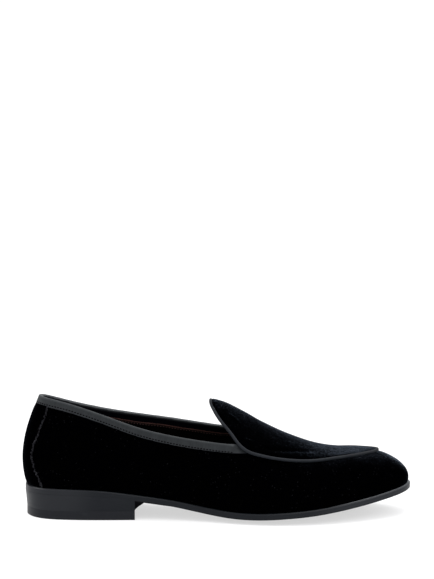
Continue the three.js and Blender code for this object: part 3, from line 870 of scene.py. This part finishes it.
# The pulls that shape the tongue and the toe's end, each with its centre, radius and move.
TONGUE_SHAPE = [
    ((-2 * MM, 0, 87 * MM), 12 * MM, (-1.5 * MM, 0, 0)),
    ((7 * MM, -31 * MM, 66 * MM), 12 * MM, (1.8 * MM, 0, 0)),
    ((7 * MM, 34 * MM, 66 * MM), 12 * MM, (1.8 * MM, 0, 0)),
    ((38 * MM, -36 * MM, 48 * MM), 22 * MM, (0, 0, 0.9 * MM)),
    ((38 * MM, 38 * MM, 48 * MM), 22 * MM, (0, 0, 0.9 * MM)),
    ((124 * MM, 2.7 * MM, 46 * MM), 17 * MM, (3 * MM, 0, 0)),
]
# The troughs inside the piping and the folds in the tongue, each a line of places in millimetres.
PLUG_TROUGHS = [
    [
        (24, -35, 58), (30, -33.5, 56), (36, -32, 54.5), (43, -29, 53),
        (51, -26, 52), (60, -22, 51), (69, -18, 50), (77, -15, 50),
    ],
    [
        (24, 38, 58), (30, 36.5, 56), (36, 35, 54.5), (43, 32.5, 53),
        (51, 29, 52), (60, 25.5, 51), (69, 22, 50), (77, 18.5, 50),
    ],
]
TONGUE_FOLDS = [
    [(19, -33.5, 62.5), (23, -32.3, 61.3), (25.5, -31.8, 60.2), (29, -31.4, 58.5)],
    [(7.4, -14.6, 79), (11, -16, 77), (15, -19, 74), (18, -23.5, 70)],
    [(20, 35.8, 62), (23, 35, 61.5), (25.5, 34.8, 60), (28.5, 34.5, 58.5)],
]

# The first colour is the painted light on the plug's up-facing velvet, brightest on the flat apron.
plug_velvet = velvet_finish("plug_velvet", (0.0112, 0.0139, 0.0188), 0.26, 0.24, 0.89, 1.16, 0.12)
plug = copy_of("plug_tongue", "velvet_plug")
line_with(plug, lambda c, n: n.z < LINED_TILT, lining)
for pull in TONGUE_SHAPE:
    draw_out(plug, *pull)
round_off(plug, levels=3, sharp_angle=50, crease=0.7)
slacken(plug, PLUG_SLACK)
for line in PLUG_TROUGHS:
    press(plug, line, TROUGH_WIDTH, TROUGH_DEPTH)
for line in TONGUE_FOLDS:
    press(plug, line, FOLD_WIDTH, -FOLD_HEIGHT)
apply_modifier(plug, "DISPLACE", strength=PILE_HEIGHT, mid_level=0)
seat(plug, "velvet", [plug_velvet, lining], "plug_tongue")


# Piping: a cord covered in charcoal leather, sewn in all round the plug and the tongue. It hides the
# seam where the plug meets the vamp.
PIPING_SWELL = 0.2 * MM

piping_leather = leather_finish(
    "piping_leather", (0.0072, 0.0088, 0.0115), (0.012, 0.014, 0.017), 0.5, 0.1, 0.05 * MM
)

piping = copy_of("plug_piping", "leather_piping")
for pull in TONGUE_SHAPE:
    draw_out(piping, *pull)
round_off(piping, levels=2)
apply_modifier(piping, "DISPLACE", strength=PIPING_SWELL, mid_level=0)
seat(piping, "piping", [piping_leather], "plug_piping")


# Collar binding: a ribbed ribbon folded over the collar's edge and sewn through near its lower side. It
# runs on under the tongue, and its inner half is a black facing tape.
COLLAR_COLUMNS = 18
RIM_SPACING = 2 * MM
RIB_PITCH = 0.85 * MM
# A painted highlight along the ribbon's fold at the collar's edge, and the distances below the edge over
# which it fades out.
RIDGE_HIGHLIGHT = (0.045, 0.049, 0.052)
RIDGE_HIGHLIGHT_FADE = (1.1 * MM, 2.2 * MM)
# A painted highlight along the facing tape's top edge inside the collar, and the distances below the edge
# over which it fades out.
FACING_RIDGE_HIGHLIGHT = (0.04, 0.043, 0.046)
FACING_HIGHLIGHT_FADE = (1.0 * MM, 2.4 * MM)
FACING_TILT = 0.4
# How far the binding runs on past its solid's ends, in columns, and what picks its end faces.
RUN_ON = (0.5, 1.0, 1.5)
END_TILT = 0.8
END_REACH = 12 * MM
# The binding's height, and the rows of the wall at its top and foot.
BINDING_TALL = 7 * MM
BINDING_ROWS = (0, 2)
STITCH_PITCH = 2.3 * MM
STITCH_SIZE = (1.6 * MM, 0.95 * MM, 0.5 * MM)
STITCH_DROP = 5.8 * MM
STITCH_SINK = 0.02 * MM


def down_wall(column, drop, inside):
    """The place on the upper's outer or inner face that far down from the collar's edge."""
    points = column[::-1] if inside else column
    for start, end in zip(points[:-1], points[1:]):
        run = (end - start).length
        if drop <= run:
            return start.lerp(end, drop / run)
        drop -= run
    return points[-1]


def round_wall(column, row):
    """A place on the upper's outer face, between its columns, at one of its rows."""
    side = 1 if column > 0 else -1
    near = side * math.floor(abs(column))
    return wall[near][row].lerp(wall[near + side][row], abs(column - near))


def thread_finish(name, dark, light, gloss):
    """Twisted sewing thread."""
    made, tree, place = new_finish(name)
    tree.cover(
        {
            "Base Color": place.noise(0.6 * MM).mix(dark, light),
            "Roughness": 0.8,
            "Specular IOR Level": gloss,
            "Normal": place.noise(0.2 * MM, 2, (1, 1, 3)).bump(0.05 * MM),
        }
    )
    return made


ribbon, tree, place = new_finish("ribbed_ribbon")
laid = tree.node("Attribute", {"attribute_name": "laid"}, out=1)
rib = 0.5 + 0.5 * (laid.part(0) * (2 * math.pi / RIB_PITCH)).sine()
thread = laid.noise(0.7 * MM, 3, (1, 0.08, 1))
cloud = place.noise(6 * MM, 3)
woven = (0.5 * thread + 0.3 * cloud + 0.2 * rib).step(0.3, 0.75)
woven = woven.mix((0.0106, 0.0122, 0.0138), (0.0205, 0.023, 0.0252))
# Painted highlight: lighter along the fold at the collar's edge.
tree.cover(
    {
        "Base Color": laid.part(1).step(*RIDGE_HIGHLIGHT_FADE).mix(RIDGE_HIGHLIGHT, woven),
        "Roughness": 0.55 + 0.15 * thread,
        "Specular IOR Level": 0.12,
        "Normal": (0.6 * rib + 0.4 * thread).bump(0.08 * MM),
    }
)
facing, tree, place = new_finish("facing_tape")
laid = tree.node("Attribute", {"attribute_name": "laid"}, out=1)
woven = place.noise(1.5 * MM, 3).mix((0.0007, 0.0006, 0.0014), (0.0018, 0.0016, 0.0034))
# Painted highlight: lighter along the top edge inside the collar.
tree.cover(
    {
        "Base Color": laid.part(1).step(*FACING_HIGHLIGHT_FADE).mix(FACING_RIDGE_HIGHLIGHT, woven),
        "Roughness": 0.95,
        "Specular IOR Level": 0.0,
        "Normal": place.noise(0.5 * MM, 3).bump(0.1 * MM),
    }
)

span = range(-COLLAR_COLUMNS, COLLAR_COLUMNS + 1)
rim_line = [(wall[i][0] + wall[i][-1]) / 2 for i in span]

binding = copy_of("collar_binding", "ribbon_binding")
for side in (-1, 1):
    end, before = wall[side * COLLAR_COLUMNS], wall[side * (COLLAR_COLUMNS - 1)]
    onward = (end[0] - before[0]).normalized()
    pick_faces(
        binding, lambda c, n: n.dot(onward) > END_TILT and (c - end[0]).length < END_REACH
    )
    reached = COLLAR_COLUMNS
    for further in RUN_ON:
        bpy.ops.mesh.extrude_region_move(TRANSFORM_OT_translate={"value": (0, 0, 0)})
        shape = bmesh.from_edit_mesh(binding.data)
        steps = [
            round_wall(side * (COLLAR_COLUMNS + further), row) - round_wall(side * reached, row)
            for row in BINDING_ROWS
        ]
        for corner in shape.verts:
            if corner.select:
                low = min(max((end[0].z - corner.co.z) / BINDING_TALL, 0), 1)
                corner.co += steps[0].lerp(steps[1], low)
        bmesh.update_edit_mesh(binding.data)
        reached = COLLAR_COLUMNS + further
    bpy.ops.object.mode_set(mode="OBJECT")
line_with(binding, lambda c, n: n.dot(outward(c)) < 0 and n.z < FACING_TILT, facing)
round_off(binding, levels=3, sharp_angle=50, crease=0.3)
measured = along_line(corners_of(binding), smooth_line(rim_line, RIM_SPACING))
laid = binding.data.attributes.new("laid", "FLOAT_VECTOR", "POINT")
laid.data.foreach_set("vector", measured.ravel())
seat(binding, "binding", [ribbon, facing], "collar_binding")

black_thread = thread_finish(
    "black_thread", (0.0005, 0.0005, 0.0006), (0.002, 0.002, 0.0024), 0.02
)
seam = [down_wall(wall[i], STITCH_DROP, False) for i in span]
stitches = sew_on(
    "binding_stitches",
    smooth_line(seam, STITCH_PITCH),
    surface_of(binding),
    small_model(STITCH_SIZE),
    sink=STITCH_SINK,
)
seat(stitches, "binding", [black_thread])


# Lining edge: the raw russet edge of the lining leather, which laps over the foot of the facing tape all
# round the inside. It is darker along its lower half, where it is sewn down with brown thread.
EDGE_DROPS = (3.9 * MM, 6.3 * MM)
EDGE_THICKNESS = 0.45 * MM
EDGE_LIFT = 0.3 * MM
# The share of the edge's height below which its colour is darker.
EDGE_DARKER_BELOW = (0.32, 0.42)
EDGE_WAVE = 0.12 * MM
EDGE_RIPPLES = (61, 97)
EDGE_STITCH_SIZE = (1.1 * MM, 0.8 * MM, 0.6 * MM)
EDGE_STITCH_DROP = 5.6 * MM
# How far inside the facing, and inside the edge itself, the search for the nearest place starts.
FACING_INSIDE = 2.5 * MM
EDGE_INSIDE = 3 * MM

russet, tree, place = new_finish("russet_cut_edge")
fibres = place.noise(0.5 * MM, 4, (1, 1, 3))
shades = (0.7 * fibres + 0.3 * place.noise(5 * MM)).step(0.3, 0.7)
tree.cover(
    {
        "Base Color": tree.node("TexCoord", out=2).part(0).step(*EDGE_DARKER_BELOW).mix(
            shades.mix((0.016, 0.0068, 0.0055), (0.058, 0.026, 0.0225)),
            shades.mix((0.0018, 0.001, 0.001), (0.006, 0.003, 0.0028)),
        ),
        "Roughness": 0.85,
        "Specular IOR Level": 0.08,
        "Normal": fibres.bump(0.12 * MM),
    }
)


def in_wall(along, drop):
    """A place on the upper's inner face, by how far it is along the collar and down from its edge."""
    column = -COLLAR_COLUMNS + along * 2 * COLLAR_COLUMNS
    left = min(math.floor(column), COLLAR_COLUMNS - 1)
    ends = [down_wall(wall[i], drop, True) for i in (left, left + 1)]
    return ends[0].lerp(ends[1], column - left)


def on_facing(across, along):
    """The place of one corner of the edge, which hangs from the facing a little unevenly."""
    held = in_wall(along, EDGE_DROPS[0])
    place, normal = folded.find_nearest(held - FACING_INSIDE * outward(held))[:2]
    here = in_wall(along, EDGE_DROPS[0] + across * (EDGE_DROPS[1] - EDGE_DROPS[0]))
    wave = math.sin(along * EDGE_RIPPLES[0]) + math.sin(along * EDGE_RIPPLES[1] + 1)
    return here + place - held + normal * EDGE_LIFT + Vector((0, 0, EDGE_WAVE * wave))


folded = surface_of(binding)
lining_edge = lay_cloth(
    "lining_edge",
    across=3,
    along=240,
    place_of=on_facing,
    thickness=EDGE_THICKNESS,
    faces_out=False,
)
seat(lining_edge, "sock", [russet])

brown_thread = thread_finish("brown_thread", (0.02, 0.0095, 0.008), (0.045, 0.022, 0.02), 0.1)
seam = [in_wall(i / (len(span) - 1), EDGE_STITCH_DROP) for i in range(len(span))]
edge_stitches = sew_on(
    "lining_edge_stitches",
    smooth_line(seam, STITCH_PITCH),
    surface_of(lining_edge),
    small_model(EDGE_STITCH_SIZE),
    reach=-EDGE_INSIDE,
)
seat(edge_stitches, "sock", [brown_thread])
